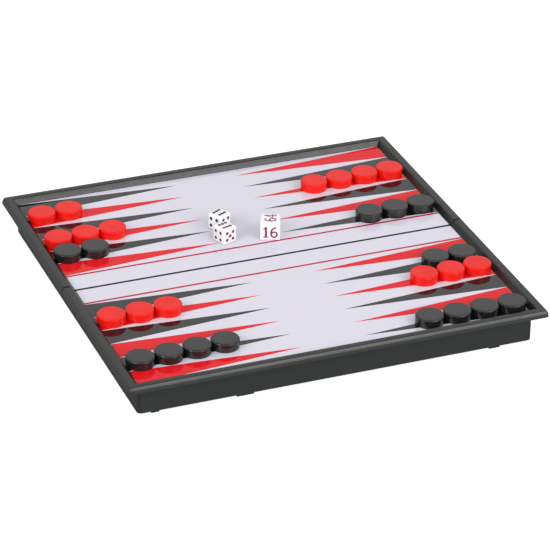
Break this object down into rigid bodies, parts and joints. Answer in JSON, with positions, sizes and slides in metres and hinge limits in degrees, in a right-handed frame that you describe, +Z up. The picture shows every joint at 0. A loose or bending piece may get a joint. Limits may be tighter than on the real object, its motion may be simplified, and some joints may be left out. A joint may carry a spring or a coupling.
{
  "type": "backgammon set",
  "caption": "Folding magnetic travel board with a printed playing surface on its outside, storage bays underneath, magnetic checkers, two dice and a doubling cube.",
  "frame": {"origin": "on the table under the middle of the fold, in the middle of the open board", "axes": "+X along the fold to the players' right, +Y from the front half to the rear half, +Z up; the fold's axis runs along +X just under the shells' lower edges"},
  "size_m": [0.25, 0.238, 0.031],
  "materials": {
    "shell_plastic": "moulded satin, near-black green-grey",
    "rim_plastic": "moulded satin",
    "tinned_steel": "rolled",
    "printed_sheet": "glossy screen print in red and dark grey on a pale ground",
    "pin_steel": "drawn wire",
    "red_plastic": "moulded gloss",
    "dark_plastic": "moulded gloss",
    "ivory_plastic": "moulded gloss, white"
  },
  "bodies": {
    "rear_half": {"rear_shell": "shell_plastic", "rear_steel_plate": "tinned_steel", "rear_printed_sheet": "printed_sheet", "rear_rim": "rim_plastic", "left_hinge_pin": "pin_steel", "right_hinge_pin": "pin_steel"},
    "front_half": {"front_shell": "shell_plastic", "front_steel_plate": "tinned_steel", "front_printed_sheet": "printed_sheet", "front_rim": "rim_plastic"},
    "red_checker_01": {"red_checker_01": "red_plastic"},
    "red_checker_02": {"red_checker_02": "red_plastic"},
    "red_checker_03": {"red_checker_03": "red_plastic"},
    "red_checker_04": {"red_checker_04": "red_plastic"},
    "red_checker_05": {"red_checker_05": "red_plastic"},
    "red_checker_06": {"red_checker_06": "red_plastic"},
    "red_checker_07": {"red_checker_07": "red_plastic"},
    "red_checker_08": {"red_checker_08": "red_plastic"},
    "red_checker_09": {"red_checker_09": "red_plastic"},
    "red_checker_10": {"red_checker_10": "red_plastic"},
    "red_checker_11": {"red_checker_11": "red_plastic"},
    "red_checker_12": {"red_checker_12": "red_plastic"},
    "red_checker_13": {"red_checker_13": "red_plastic"},
    "red_checker_14": {"red_checker_14": "red_plastic"},
    "red_checker_15": {"red_checker_15": "red_plastic"},
    "dark_checker_01": {"dark_checker_01": "dark_plastic"},
    "dark_checker_02": {"dark_checker_02": "dark_plastic"},
    "dark_checker_03": {"dark_checker_03": "dark_plastic"},
    "dark_checker_04": {"dark_checker_04": "dark_plastic"},
    "dark_checker_05": {"dark_checker_05": "dark_plastic"},
    "dark_checker_06": {"dark_checker_06": "dark_plastic"},
    "dark_checker_07": {"dark_checker_07": "dark_plastic"},
    "dark_checker_08": {"dark_checker_08": "dark_plastic"},
    "dark_checker_09": {"dark_checker_09": "dark_plastic"},
    "dark_checker_10": {"dark_checker_10": "dark_plastic"},
    "dark_checker_11": {"dark_checker_11": "dark_plastic"},
    "dark_checker_12": {"dark_checker_12": "dark_plastic"},
    "dark_checker_13": {"dark_checker_13": "dark_plastic"},
    "dark_checker_14": {"dark_checker_14": "dark_plastic"},
    "dark_checker_15": {"dark_checker_15": "dark_plastic"},
    "red_pip_die": {"red_pip_die": "ivory_plastic"},
    "black_pip_die": {"black_pip_die": "ivory_plastic"},
    "doubling_cube": {"doubling_cube": "ivory_plastic"}
  },
  "joints": [
    {"name": "fold", "type": "hinge", "parent": "rear_half", "child": "front_half", "pos_m": [0, 0, 0.0015], "axis": [1, 0, 0], "range_deg": [0, 180]},
    {"name": "red_checker_01_lift", "type": "slide", "parent": "rear_half", "child": "red_checker_01", "axis": [0, 0, 1], "range_m": [0, 0.03]},
    {"name": "red_checker_02_lift", "type": "slide", "parent": "rear_half", "child": "red_checker_02", "axis": [0, 0, 1], "range_m": [0, 0.03]},
    {"name": "red_checker_03_lift", "type": "slide", "parent": "rear_half", "child": "red_checker_03", "axis": [0, 0, 1], "range_m": [0, 0.03]},
    {"name": "red_checker_04_lift", "type": "slide", "parent": "rear_half", "child": "red_checker_04", "axis": [0, 0, 1], "range_m": [0, 0.03]},
    {"name": "red_checker_05_lift", "type": "slide", "parent": "rear_half", "child": "red_checker_05", "axis": [0, 0, 1], "range_m": [0, 0.03]},
    {"name": "red_checker_06_lift", "type": "slide", "parent": "front_half", "child": "red_checker_06", "axis": [0, 0, 1], "range_m": [0, 0.03]},
    {"name": "red_checker_07_lift", "type": "slide", "parent": "front_half", "child": "red_checker_07", "axis": [0, 0, 1], "range_m": [0, 0.03]},
    {"name": "red_checker_08_lift", "type": "slide", "parent": "front_half", "child": "red_checker_08", "axis": [0, 0, 1], "range_m": [0, 0.03]},
    {"name": "red_checker_09_lift", "type": "slide", "parent": "rear_half", "child": "red_checker_09", "axis": [0, 0, 1], "range_m": [0, 0.03]},
    {"name": "red_checker_10_lift", "type": "slide", "parent": "rear_half", "child": "red_checker_10", "axis": [0, 0, 1], "range_m": [0, 0.03]},
    {"name": "red_checker_11_lift", "type": "slide", "parent": "rear_half", "child": "red_checker_11", "axis": [0, 0, 1], "range_m": [0, 0.03]},
    {"name": "red_checker_12_lift", "type": "slide", "parent": "rear_half", "child": "red_checker_12", "axis": [0, 0, 1], "range_m": [0, 0.03]},
    {"name": "red_checker_13_lift", "type": "slide", "parent": "front_half", "child": "red_checker_13", "axis": [0, 0, 1], "range_m": [0, 0.03]},
    {"name": "red_checker_14_lift", "type": "slide", "parent": "front_half", "child": "red_checker_14", "axis": [0, 0, 1], "range_m": [0, 0.03]},
    {"name": "red_checker_15_lift", "type": "slide", "parent": "front_half", "child": "red_checker_15", "axis": [0, 0, 1], "range_m": [0, 0.03]},
    {"name": "dark_checker_01_lift", "type": "slide", "parent": "rear_half", "child": "dark_checker_01", "axis": [0, 0, 1], "range_m": [0, 0.03]},
    {"name": "dark_checker_02_lift", "type": "slide", "parent": "rear_half", "child": "dark_checker_02", "axis": [0, 0, 1], "range_m": [0, 0.03]},
    {"name": "dark_checker_03_lift", "type": "slide", "parent": "front_half", "child": "dark_checker_03", "axis": [0, 0, 1], "range_m": [0, 0.03]},
    {"name": "dark_checker_04_lift", "type": "slide", "parent": "front_half", "child": "dark_checker_04", "axis": [0, 0, 1], "range_m": [0, 0.03]},
    {"name": "dark_checker_05_lift", "type": "slide", "parent": "front_half", "child": "dark_checker_05", "axis": [0, 0, 1], "range_m": [0, 0.03]},
    {"name": "dark_checker_06_lift", "type": "slide", "parent": "front_half", "child": "dark_checker_06", "axis": [0, 0, 1], "range_m": [0, 0.03]},
    {"name": "dark_checker_07_lift", "type": "slide", "parent": "rear_half", "child": "dark_checker_07", "axis": [0, 0, 1], "range_m": [0, 0.03]},
    {"name": "dark_checker_08_lift", "type": "slide", "parent": "rear_half", "child": "dark_checker_08", "axis": [0, 0, 1], "range_m": [0, 0.03]},
    {"name": "dark_checker_09_lift", "type": "slide", "parent": "rear_half", "child": "dark_checker_09", "axis": [0, 0, 1], "range_m": [0, 0.03]},
    {"name": "dark_checker_10_lift", "type": "slide", "parent": "front_half", "child": "dark_checker_10", "axis": [0, 0, 1], "range_m": [0, 0.03]},
    {"name": "dark_checker_11_lift", "type": "slide", "parent": "front_half", "child": "dark_checker_11", "axis": [0, 0, 1], "range_m": [0, 0.03]},
    {"name": "dark_checker_12_lift", "type": "slide", "parent": "front_half", "child": "dark_checker_12", "axis": [0, 0, 1], "range_m": [0, 0.03]},
    {"name": "dark_checker_13_lift", "type": "slide", "parent": "front_half", "child": "dark_checker_13", "axis": [0, 0, 1], "range_m": [0, 0.03]},
    {"name": "dark_checker_14_lift", "type": "slide", "parent": "front_half", "child": "dark_checker_14", "axis": [0, 0, 1], "range_m": [0, 0.03]},
    {"name": "dark_checker_15_lift", "type": "slide", "parent": "front_half", "child": "dark_checker_15", "axis": [0, 0, 1], "range_m": [0, 0.03]},
    {"name": "red_pip_die_lift", "type": "slide", "parent": "rear_half", "child": "red_pip_die", "axis": [0, 0, 1], "range_m": [0, 0.03]},
    {"name": "black_pip_die_lift", "type": "slide", "parent": "rear_half", "child": "black_pip_die", "axis": [0, 0, 1], "range_m": [0, 0.03]},
    {"name": "doubling_cube_lift", "type": "slide", "parent": "rear_half", "child": "doubling_cube", "axis": [0, 0, 1], "range_m": [0, 0.03]}
  ]
}
